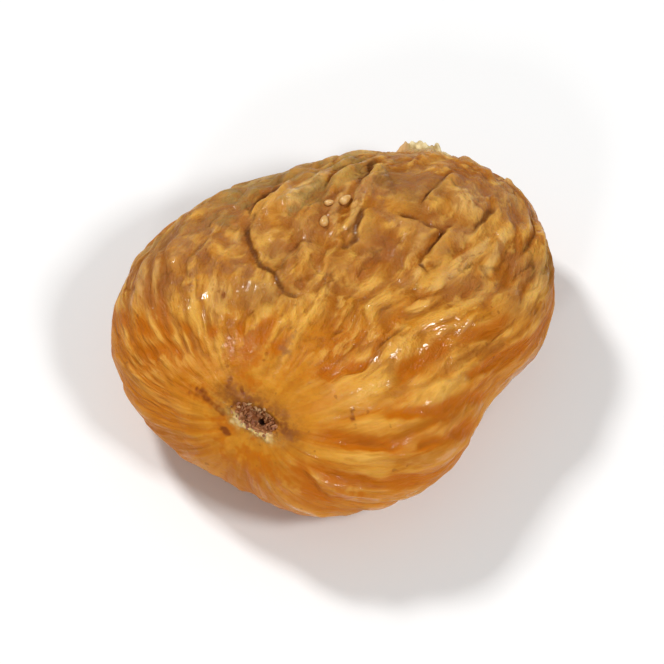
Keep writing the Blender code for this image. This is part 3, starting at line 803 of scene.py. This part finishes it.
def skinMaterial():
    material, shader = newMaterial("driedFigSkin")
    grain, place = markValue("grain", "Vector"), objectPlace()
    crumpled, folds, smallShape, streaked, eyeReach, away, eyeAcross = (markValue(name) for name in (
        "crumpled", "folds", "smallShape", "streaked", "eyeReach", "eyeAway", "eyeAcross"))

    def share(value, low, high, most, less=None):
        part = ranged(value, low, high, 0.0, most)
        return part if less is None else times(part, less)

    # small folds, as 0 in their valleys and 1 on them
    grainPlace = vectorPlus(stretchedAlong(grain, 1.7), scaled(swaying(place, 230.0), 0.07))
    valley = worked("ABSOLUTE", centred(noiseValue(grainPlace, 9.0, 1.0, 0.55)))
    alongFolds = times(ranged(valley, 0.0, 0.16), ranged(away, 3.0, 12.0, 0.0, 0.3))
    softFolds = ranged(noiseValue(grainPlace, 17.0, 3.0, 0.6), 0.33, 0.67, smooth=False)
    roundNoise = ranged(noiseValue(place, 560.0, 3.0, 0.6), 0.3, 0.7, smooth=False)
    nearEye = ranged(away, 14.0, 3.0, 0.25, 1.0)
    softFolds = nodeValue("ShaderNodeMix", {0: nearEye, 2: softFolds, 3: roundNoise}, data_type="FLOAT")
    creping = plus(alongFolds, times(softFolds, 0.7))

    # where the layers lie, and where they are weaker
    offEye = ranged(away, 4.0, 13.0, 0.2, 1.0)
    bumpy = ranged(markValue("bumpy"), 0.0, 1.0, 0.35, 1.0)
    smooth = ranged(markValue("bumpy"), 1.0, 0.2)
    even = ranged(crumpled, 0.0, 1.0, 1.0, 0.3)
    fleck = noiseValue(grainPlace, 9.0, 2.0, 0.5, 0.2)
    streak = noiseValue(stretchedAlong(grain, 0.35), 6.0, 2.0, 0.5, 0.2)
    radial = noiseValue(stretchedAlong(grain, 0.3), 7.0, 1.0)
    radialShare = times(ranged(radial, 0.52, 0.66, 0.0, 0.5), ranged(away, 2.0, 7.0), ranged(away, 16.0, 8.0))
    mottle, blotch = noiseValue(place, 170.0), noiseValue(place, 800.0, 2.0, 0.6)
    patchy = ranged(blotch, 0.35, 0.6, 0.5, 1.0)

    # round the eye and the stem
    raggedReach = plus(eyeReach, times(centred(blotch), 2.0))
    grains = ranged(noiseValue(place, 1400.0, 2.0, 0.6), 0.36, 0.6, 0.5, 1.0)
    halo = times(ranged(raggedReach, 3.8, 1.4, 0.0, 0.85), ranged(eyeAcross, -1.2, 0.6, 0.45, 1.0), grains)
    outside = times(ranged(raggedReach, 2.5, 1.6), ranged(eyeAcross, 0.1, -0.9), 0.5)
    sideways = worked("DIVIDE", eyeAcross, eyeReach)
    lipReach = plus(raggedReach, ranged(sideways, -1.0, -0.2, 0.0, 0.4, smooth=False))
    onLip = times(ranged(lipReach, 2.0, 1.5), ranged(sideways, -0.2, -0.7))
    stemAway = plus(markValue("stemReach"), ranged(mottle, 0.3, 0.7, -1.2, 1.2))

    colours = dict(skinColours)
    colours["valley"] = blended(crumpled, colours["orange"], colours["tan"])
    layers = [
        # painted highlight: gold on the raised folds
        (share(folds, 0.0, 0.45, 0.6), "gold"),
        (share(fleck, 0.42, 0.7, 0.45, offEye), "pale"),
        (share(streak, 0.5, 0.66, 0.35, offEye), "valley"),
        # darker valley colour in the fold valleys, partly the skin's own colour and partly painted shade, and
        # pale on the smooth lower folds as painted highlight
        (share(folds, 0.05, -0.3, 0.75), "valley"),
        (times(ranged(folds, -0.05, 0.3, 0.0, 0.65), smooth, offEye), "pale"),
        (radialShare, "orange"),
        (share(radial, 0.5, 0.36, 0.3, ranged(away, 3.0, 9.0)), "pale"),
        (share(crumpled, 0.0, 1.0, 0.25), "brown"),
        # painted shade in the valleys of the small folds, and painted highlight on them, cream on the
        # crumpled half
        (share(smallShape, -0.05, -0.4, 0.6, bumpy), "tan"),
        (share(smallShape, 0.0, 0.45, 0.5, bumpy), "pale"),
        (share(smallShape, 0.05, 0.5, 0.35, crumpled), "cream"),
        # painted highlight on the small bumps, and painted shade between them
        (share(creping, 0.5, 0.85, 0.55, bumpy), "pale"),
        (share(creping, 0.5, 0.15, 0.6, bumpy), "tan"),
        (share(streaked, 0.05, 0.6, 0.9, even), "orange"),
        (share(streaked, 0.5, 1.0, 0.4, even), "tan"),
        # painted shade: the steep sides, which face away from the lamps, turn deeper orange
        (share(markValue("wall"), 0.2, 1.0, 0.5), "orange"),
        (share(mottle, 0.46, 0.62, 0.5, crumpled), "brown"),
        (share(noiseValue(place, 90.0), 0.5, 0.64, 0.3, crumpled), "olive"),
    ]
    for stain, strength in stains["strengths"].items():
        layers.append((share(markValue(stain + "Stain"), 0.0, 1.0, strength, patchy), stain))
    layers += [
        # painted highlight: pale on the folded lip beside each line
        (share(markValue("lipped"), 0.2, 0.9, 0.4), "pale"),
        (share(markValue("shaded"), 0.1, 0.9, 0.45), "tan"),
        # painted shade: dark in the wrinkles and the creases
        (share(markValue("wrinkle"), 0.3, 1.0, 0.35), "crease"),
        (share(markValue("creased"), 0.25, 0.85, 0.9), "crease"),
        # painted rim light: cream along the far outline
        (share(markValue("farRim"), 0.0, 1.0, 0.35, patchy), "cream"),
        (share(noiseValue(place, 900.0, 1.0), 0.72, 0.78, 0.4), "rust"),
        (halo, "eyeHalo"),
        (outside, "eyeRim"),
        (onLip, "cream"),
        (share(eyeReach, 1.25, 1.0, 0.9), "eyeInside"),
        # painted shade: near black down in the pit
        (ranged(markValue("pitAway"), 0.6, 0.3), "pit"),
        (share(stemAway, 4.2, 1.4, 0.75), "stemDry"),
    ]
    colour = blended(share(noiseValue(place, 100.0), 0.36, 0.6, 1.0), colours["amber"], colours["gold"])
    for covered, name in layers:
        colour = blended(covered, colour, colours[name])

    tack = noiseValue(place, 420.0, 3.0, 0.6)
    dryness = plus(ranged(tack, 0.3, 0.7, 0.38, 0.52), times(crumpled, 0.06))
    lessOnLeft = ranged(split(place)[0], -12.0 * mm, 1.0 * mm, -0.11, 0.0)
    wetNoise = plus(noiseValue(grainPlace, 8.0), lessOnLeft)
    dry = worked("MAXIMUM", markValue("creased"), times(crumpled, 0.3))
    wet = times(ranged(wetNoise, 0.46, 0.52, 0.05, 1.0), ranged(folds, -0.1, 0.25, 0.15, 1.0),
                ranged(creping, 0.3, 0.5, 0.1, 1.0), minus(1.0, dry))
    radialBump = times(radial, ranged(away, 18.0, 10.0, 0.0, -0.35), ranged(away, 2.0, 6.0))
    crepeHeight = plus(times(creping, bumpy), radialBump)
    pores = bumped(0.45, 0.05 * mm, noiseValue(place, 2600.0, 3.0, 0.65))
    setInputs(shader, {
        "Base Color": colour,
        "Roughness": dryness,
        "Coat Weight": wet,
        "Normal": bumped(1.0, 0.45 * mm, crepeHeight, Normal=pores),
        "Coat Normal": bumped(1.0, 0.3 * mm, crepeHeight),
        **skinFinish,
    })
    return material


# Turns an axis towards a vector, and with a rotation given turns that further, round its own Z.
def turnedTo(vector, axis, **earlier):
    pivot = "Z" if earlier else "AUTO"
    inputs = {"Vector": vector, **earlier}
    return nodeValue("FunctionNodeAlignRotationToVector", inputs, axis=axis, pivot_axis=pivot)


# The rotation with Z along one vector and X towards another.
def standing(upward, forward):
    return turnedTo(forward, "X", Rotation=turnedTo(upward, "Z"))


def randomValue(low, high, seed):
    inputs = {2: low, 3: high, "Seed": seed}
    return addNode("FunctionNodeRandomValue", inputs, data_type="FLOAT").outputs[1]


goldenAngle = math.radians(137.5)


# For each point of a spiral like a sunflower's: its angle, and its share of the way to the edge.
def spiral(count):
    index = nodeValue("GeometryNodeInputIndex")
    share = worked("SQRT", worked("DIVIDE", plus(index, 0.5), count))
    return times(index, goldenAngle), share


def instanced(points, shape, rotation, size):
    inputs = {"Points": points, "Instance": shape, "Rotation": rotation, "Scale": size}
    return nodeValue("GeometryNodeInstanceOnPoints", inputs)


# Drops points against a direction onto the skin, and keeps the skin's own direction there as skinWay.
def droppedOnSkin(points, skin, outward):
    target = addNode("GeometryNodeObjectInfo", {"Object": skin}).outputs["Geometry"]
    inputs = {"Target Geometry": target, "Ray Direction": scaled(outward, -1.0), "Ray Length": 100.0 * mm}
    hit = addNode("GeometryNodeRaycast", inputs).outputs
    return moved(storedValue(points, "skinWay", hit["Hit Normal"], kind="FLOAT_VECTOR"), hit["Hit Position"])


# A rounded flake or seed: a ball drawn out along X, narrower at its +X end and curled up there.
def flakeShape(segments, rings, sizes, narrowing, curl):
    inputs = {"Segments": segments, "Rings": rings, "Radius": 1.0}
    ball = addNode("GeometryNodeMeshUVSphere", inputs).outputs["Mesh"]
    x, y, z = split(nodeValue("GeometryNodeInputPosition"))
    along = plus(x, 1.0)
    narrow = minus(1.0, times(along, narrowing / 2))
    lifted = times(worked("POWER", along, 2.0), curl)
    shape = joined(times(x, sizes[0]), times(y, narrow, sizes[1]), plus(times(z, sizes[2]), lifted))
    return moved(storedValue(ball, "tip", times(along, 0.5)), shape)


def settledPoint(point):
    return [float(value) * mm for value in np.array(point) + settling]


# A piece that its tree makes by itself, from one point.
def pieceFrom(name, tree, values):
    piece = meshObject(name, [(0.0, 0.0, 0.0)], [])
    applyTree(piece, tree, values)
    return piece


bracts = {
    "Bract Count": 110,
    "Inner Radius": 0.22 * mm,
    "Outer Radius": 1.25 * mm,
    "Stretch": 2.15,
    "Bract Length": 0.85 * mm,
    "Jitter": 0.3 * mm,
    "Twist": 2.6,
    "Seed": 5,
}

bractDrop = 4.0 * mm            # how far above the eye they start

bractColours = {
    "deep": (0.23, 0.070, 0.025, 1.0),
    "red": (0.38, 0.145, 0.050, 1.0),
    "tan": (0.52, 0.28, 0.12, 1.0),
    "cream": (0.70, 0.48, 0.22, 1.0),
}


# The eye's scales, set in a spiral and pointing at its hole.
def bractTree(material):
    tree, given = newTree("eyeBracts", bracts, ("Eye Place", "Outward", "Long Axis"), ("Skin",))
    angle, tone = spiral(given["Bract Count"])

    def drawn(low, high, step=0):
        return randomValue(low, high, plus(given["Seed"], step) if step else given["Seed"])

    widening = minus(given["Outer Radius"], given["Inner Radius"])
    radius = plus(given["Inner Radius"], times(widening, tone))
    radius = plus(radius, times(drawn(-1.0, 1.0), given["Jitter"]))
    alongLong = times(worked("COSINE", angle), radius, given["Stretch"])
    alongSide = times(worked("SINE", angle), radius)
    side = crossed(given["Outward"], given["Long Axis"])
    place = vectorPlus(given["Eye Place"], scaled(given["Long Axis"], alongLong), scaled(side, alongSide),
                       scaled(given["Outward"], bractDrop))
    points = nodeValue("GeometryNodePoints", {"Count": given["Bract Count"], "Position": place})
    points = droppedOnSkin(points, given["Skin"], given["Outward"])

    # none over the pit
    fromPit = worked("POWER", minus(alongLong, eye["pitPlace"] * mm), 2.0)
    inPit = worked("LESS_THAN", plus(fromPit, worked("POWER", alongSide, 2.0)), (eye["pitClear"] * mm) ** 2)
    points = nodeValue("GeometryNodeDeleteGeometry", {"Geometry": points, "Selection": inPit})
    facing = vectorPlus(namedVector("skinWay"), given["Outward"])
    inward = vectorWorked("SUBTRACT", given["Eye Place"], nodeValue("GeometryNodeInputPosition"))
    twist = times(given["Twist"], drawn(-1.0, 1.0, 2))
    angles = joined(0.0, times(0.9, drawn(-1.0, 0.8, 3)), twist)
    further = nodeValue("FunctionNodeEulerToRotation", {"Euler": angles})
    inputs = {"Rotation": standing(facing, inward), "Rotate By": further}
    rotation = nodeValue("FunctionNodeRotateRotation", inputs, rotation_space="LOCAL")
    size = times(given["Bract Length"], drawn(0.5, 1.1, 1))
    flake = flakeShape(segments=10, rings=7, sizes=(0.45, 0.3, 0.14), narrowing=0.5, curl=0.06)
    placed = instanced(points, flake, rotation, size)
    lower = times(worked("SINE", angle), -1.0)
    placed = storedValue(placed, "tone", times(tone, lower), domain="INSTANCE")
    placed = storedValue(placed, "tint", drawn(0.0, 1.0, 4), domain="INSTANCE")
    finishTree(placed, material)
    return tree


def bractMaterial():
    material, shader = newMaterial("driedBracts")
    place = objectPlace()
    blotch = noiseValue(place, 1500.0)
    mixed = plus(times(markValue("tip"), 0.3), times(markValue("tint"), 1.1))
    mixed = plus(mixed, centred(blotch))
    colour = blended(ranged(mixed, 0.1, 0.7), bractColours["deep"], bractColours["red"])
    colour = blended(ranged(mixed, 0.95, 1.45), colour, bractColours["tan"])
    colour = blended(ranged(markValue("tone"), 0.6, 1.0, 0.0, 0.7), colour, bractColours["cream"])
    setInputs(shader, {
        "Base Color": colour,
        "Roughness": ranged(blotch, 0.3, 0.7, 0.35, 0.65),
        "Specular IOR Level": 0.4,
        "Normal": bumped(0.5, 0.05 * mm, noiseValue(place, 4200.0)),
    })
    return material


def buildBracts(skin):
    place, normal, longAxis = eyeFrame()
    ways = {"Eye Place": settledPoint(place), "Outward": normal.tolist(), "Long Axis": longAxis.tolist()}
    return pieceFrom("eye_bracts", bractTree(bractMaterial()), {**bracts, **ways, "Skin": skin})


# Seeds stuck to the skin by (x, height in the view), size and turn, as in the solid model.
seedPlaces = [((-0.9, 12.3), 1.0, 80.0), ((1.4, 14.9), 0.95, 40.0), ((-0.3, 14.5), 0.72, 10.0)]
seedDrop = 30.0                 # how far in front of the fig they start

seeds = {
    "Seed Size": 1.0 * mm,
    "Sink": 0.3 * mm,
}

seedColours = {
    "dark": (0.64, 0.34, 0.09, 1.0),
    "light": (0.74, 0.46, 0.17, 1.0),
}

seedFinish = {
    "Coat Weight": 0.3,
    "Coat Roughness": 0.12,
    "Subsurface Weight": 0.15,
    "Subsurface Radius": (1.0, 0.5, 0.2),
    "Subsurface Scale": 0.6 * mm,
}


def seedTree(material):
    tree, given = newTree("stuckSeeds", seeds, ("View Way",), ("Skin",))
    points = nodeValue("GeometryNodeMeshToPoints", {"Mesh": given["Geometry"]})
    points = droppedOnSkin(points, given["Skin"], given["View Way"])
    skinWay = namedVector("skinWay")
    size = times(namedValue("share"), given["Seed Size"])
    raised = minus(times(size, 0.5), given["Sink"])
    points = moved(points, scaled(skinWay, raised), "Offset")
    rotation = standing(skinWay, namedVector("pointing"))
    shape = flakeShape(segments=20, rings=14, sizes=(0.82, 0.62, 0.5), narrowing=0.45, curl=0.0)
    finishTree(instanced(points, shape, rotation, size), material)
    return tree


def seedMaterial():
    material, shader = newMaterial("paleSeed")
    tint = noiseValue(objectPlace(), 1500.0)
    setInputs(shader, {
        "Base Color": blended(ranged(tint, 0.35, 0.65), seedColours["dark"], seedColours["light"]),
        "Roughness": ranged(tint, 0.3, 0.7, 0.28, 0.42),
        **seedFinish,
    })
    return material


def buildSeeds(skin):
    starts, pointings = [], []
    for (x, v), share, turn in seedPlaces:
        aim = np.array([x, v * math.sin(viewRise), v * math.cos(viewRise)]) + seedDrop * np.array(viewWay)
        starts.append(settledPoint(aim))
        pointings += [math.cos(math.radians(turn)), math.sin(math.radians(turn)), 0.0]
    piece = meshObject("stuck_seeds", starts, [])
    addMark(piece, "share", [share for middle, share, turn in seedPlaces])
    addMark(piece, "pointing", pointings, "FLOAT_VECTOR")
    applyTree(piece, seedTree(seedMaterial()), {**seeds, "View Way": list(viewWay), "Skin": skin})
    return piece


crest = {
    "Crest Width": 7.0 * mm,
    "Crest Height": 2.95 * mm,
    "Thickness": 0.34 * mm,
    "Sink": 0.95 * mm,
    "Fold Depth": 1.1 * mm,
    "Raggedness": 0.8,
    "Curl": 0.35 * mm,
    "Lift": 1.5 * mm,
    "Seed": 4.0,
}

crestColours = {
    "dark": (0.50, 0.33, 0.11, 1.0),
    "light": (0.88, 0.74, 0.42, 1.0),
    "curl": (0.60, 0.28, 0.07, 1.0),
}


# The dry remnant of the stem: a crumpled ribbon with a torn edge, curled over at its left end.
def crestTree(material):
    tree, given = newTree("stemCrest", crest, ("Tip Place", "Outward", "Side"))
    inputs = {"Size": (1.0, 1.0, 1.0), "Vertices X": 72, "Vertices Y": 3, "Vertices Z": 18}
    slab = addNode("GeometryNodeMeshCube", inputs).outputs["Mesh"]
    x, y, z = split(nodeValue("GeometryNodeInputPosition"))
    rise = plus(z, 0.5)

    def wander(acrossScale, upScale, shift, detail=2.0):
        place = joined(times(x, acrossScale), times(rise, upScale), plus(given["Seed"], shift))
        return times(centred(noiseValue(place, 1.0, detail)), 2.0)

    ends = times(ranged(x, -0.5, -0.36, 0.35, 1.0), ranged(x, 0.5, 0.12, 0.2, 1.0))
    ragged = plus(0.8, times(given["Raggedness"], wander(6.0, 0.0, 1.0, 1.0)))
    bend = times(rise, ranged(x, -0.15, -0.4, 2.0, 3.4))
    tall = times(given["Crest Height"], ends, worked("MAXIMUM", ragged, 0.25))
    height = times(tall, worked("SINE", worked("MINIMUM", bend, 2.6)))
    fold = times(wander(10.0, 1.2, 5.0), given["Fold Depth"], plus(0.35, rise))
    curl = times(given["Curl"], minus(1.0, worked("COSINE", bend)))
    thin = minus(1.0, times(rise, 0.6))
    deep = minus(plus(times(y, given["Thickness"], thin), curl), fold)
    wide = plus(times(x, given["Crest Width"]), times(wander(5.0, 2.5, 9.0), 0.6 * mm, rise))
    backward = crossed(given["Outward"], given["Side"])
    place = vectorPlus(given["Tip Place"], scaled(given["Side"], wide),
                       scaled(backward, minus(deep, given["Lift"])),
                       scaled(given["Outward"], minus(height, given["Sink"])))
    finishTree(moved(storedValue(slab, "crestPlace", x), place), material)
    return tree


fibres = {
    "Fibre Count": 7,
    "Spread": 1.6 * mm,
    "Fibre Length": 1.2 * mm,
    "Fibre Radius": 0.09 * mm,
    "Bend": 0.5 * mm,
    "Sink": 0.7 * mm,
    "Seed": 11,
}

fibreColours = {
    "dark": (0.34, 0.21, 0.08, 1.0),
    "light": (0.66, 0.50, 0.25, 1.0),
}


# Torn, curling fibres in the end of the stem.
def fibreTree(material):
    tree, given = newTree("stemFibres", fibres, ("Tip Place", "Outward", "Side"))
    angle, share = spiral(given["Fibre Count"])
    other = crossed(given["Outward"], given["Side"])
    radial = vectorPlus(scaled(given["Side"], worked("COSINE", angle)), scaled(other, worked("SINE", angle)))
    place = vectorPlus(given["Tip Place"], scaled(radial, times(share, given["Spread"])))
    place = vectorWorked("SUBTRACT", place, scaled(given["Outward"], given["Sink"]))
    points = nodeValue("GeometryNodePoints", {"Count": given["Fibre Count"], "Position": place})
    points = storedValue(points, "radialWay", radial, kind="FLOAT_VECTOR")

    # one strand, one unit long
    inputs = {"Start": (0.0, 0.0, 0.0), "End": (0.0, 0.0, 1.0)}
    line = nodeValue("GeometryNodeCurvePrimitiveLine", inputs)
    line = nodeValue("GeometryNodeResampleCurve", {"Curve": line, "Count": 8})
    along = addNode("GeometryNodeSplineParameter").outputs["Factor"]
    bend = worked("DIVIDE", given["Bend"], given["Fibre Length"])
    line = moved(line, joined(times(bend, worked("POWER", along, 2.0)), 0.0, along))
    taper = minus(1.0, times(along, 0.7))
    line = nodeValue("GeometryNodeSetCurveRadius", {"Curve": line, "Radius": taper})
    thickness = worked("DIVIDE", given["Fibre Radius"], given["Fibre Length"])
    ring = nodeValue("GeometryNodeCurvePrimitiveCircle", {"Resolution": 7, "Radius": thickness})
    strand = nodeValue("GeometryNodeCurveToMesh", {"Curve": line, "Profile Curve": ring, "Fill Caps": True})

    tilt = times(share, randomValue(0.1, 0.8, given["Seed"]))
    radialWay = namedVector("radialWay")
    rotation = standing(vectorPlus(given["Outward"], scaled(radialWay, tilt)), radialWay)
    long = times(given["Fibre Length"], randomValue(0.65, 1.05, plus(given["Seed"], 1)))
    wide = times(given["Fibre Length"], randomValue(0.7, 1.5, plus(given["Seed"], 2)))
    finishTree(instanced(points, strand, rotation, joined(wide, wide, long)), material)
    return tree


def stemMaterial(name, colours):
    material, shader = newMaterial(name)
    place = objectPlace()
    tint = noiseValue(place, 500.0, 3.0, 0.6)
    colour = blended(ranged(tint, 0.35, 0.65), colours["dark"], colours["light"])
    if "curl" in colours:
        colour = blended(ranged(markValue("crestPlace"), -0.22, -0.36, 0.0, 0.7), colour, colours["curl"])
    setInputs(shader, {
        "Base Color": colour,
        "Roughness": ranged(tint, 0.3, 0.7, 0.5, 0.75),
        "Normal": bumped(0.6, 0.06 * mm, noiseValue(place, 3800.0)),
    })
    return material


# Where the stem ends, the way it points and the level way across it.
def stemWays():
    place, axis = stubFrame()
    side = np.cross(axis, np.array([0.0, 0.0, 1.0]))
    side /= np.linalg.norm(side)
    tip = place + axis * (stub["length"] - 0.5 * stub["hollow"])
    return {"Tip Place": settledPoint(tip), "Outward": axis.tolist(), "Side": side.tolist()}


def buildCrest():
    tree = crestTree(stemMaterial("dryCrest", crestColours))
    return pieceFrom("stem_crest", tree, {**crest, **stemWays()})


def buildFibres():
    tree = fibreTree(stemMaterial("dryFibres", fibreColours))
    return pieceFrom("stem_fibres", tree, {**fibres, **stemWays()})


room = {
    "floorColour": (0.9, 0.9, 0.895, 1.0),
    "floorClouds": (0.8, 0.8, 0.8, 1.0),
    "floorSize": 3.0,
    "skyStrength": 0.28,
    "lights": {                 # place, width and power
        "keyLight": ((-0.36, 0.36, 0.58), 0.12, 3.5),
        "fillLight": ((0.42, -0.30, 0.62), 0.16, 2.9),
        "frontLight": ((-0.16, -0.52, 0.30), 0.08, 0.7),
    },
}

cameraView = {
    "distance": 0.62,
    "lens": 300.0,
    "aim": (-0.2 * mm, -1.3 * mm, 9.0 * mm),
}


def addObject(name, data):
    made = bpy.data.objects.new(name, data)
    bpy.context.scene.collection.objects.link(made)
    return made


def buildFloor():
    half = room["floorSize"] / 2
    corners = [(-half, -half, 0.0), (half, -half, 0.0), (half, half, 0.0), (-half, half, 0.0)]
    floor = meshObject("floor", corners, [(0, 1, 2, 3)])
    material, shader = newMaterial("paleFloor")
    clouds = ranged(noiseValue(objectPlace(), 6.0), 0.3, 0.7, 0.0, 0.04)
    colour = blended(clouds, room["floorColour"], room["floorClouds"])
    setInputs(shader, {"Base Color": colour, "Roughness": 0.7})
    floor.data.materials.append(material)


def addLight(name, place, size, power):
    light = bpy.data.lights.new(name, "AREA")
    light.shape = "SQUARE"
    light.size = size
    light.energy = power
    made = addObject(name, light)
    made.location = place
    made.rotation_euler = Vector(place).to_track_quat("Z", "Y").to_euler()


def buildRoom():
    buildFloor()
    world = bpy.data.worlds.new("studio")
    world.use_nodes = True
    background = world.node_tree.nodes["Background"]
    background.inputs["Color"].default_value = (1.0, 1.0, 1.0, 1.0)
    background.inputs["Strength"].default_value = room["skyStrength"]
    bpy.context.scene.world = world
    for name, (place, size, power) in room["lights"].items():
        addLight(name, place, size, power)
    bpy.context.scene.view_settings.view_transform = "Standard"


def buildCamera():
    back = Vector(viewWay)
    camera = addObject("camera", bpy.data.cameras.new("camera"))
    camera.data.lens = cameraView["lens"]
    camera.data.clip_start = 0.01
    camera.location = Vector(cameraView["aim"]) + back * cameraView["distance"]
    camera.rotation_euler = back.to_track_quat("Z", "Y").to_euler()
    bpy.context.scene.camera = camera


def fasten(piece):
    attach(piece, "root")


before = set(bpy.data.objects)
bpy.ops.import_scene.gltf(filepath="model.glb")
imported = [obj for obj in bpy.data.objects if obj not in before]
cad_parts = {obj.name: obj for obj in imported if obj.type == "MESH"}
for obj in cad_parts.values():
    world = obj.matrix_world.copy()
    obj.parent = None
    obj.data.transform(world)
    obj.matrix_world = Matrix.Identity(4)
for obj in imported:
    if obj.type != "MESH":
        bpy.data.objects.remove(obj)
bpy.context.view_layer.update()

buildRoom()
buildCamera()
print("floor, lights and camera ready")

figSkin = buildSkin()
applyTree(figSkin, wrinkleTree(skinMaterial()), wrinkles)
fasten(figSkin)
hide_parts("dried_fig")
print("skin ready:", len(figSkin.data.polygons), "faces")

for piece in (buildBracts(figSkin), buildSeeds(figSkin), buildCrest(), buildFibres()):
    fasten(piece)
    print(piece.name, "ready:", len(piece.data.polygons), "faces")
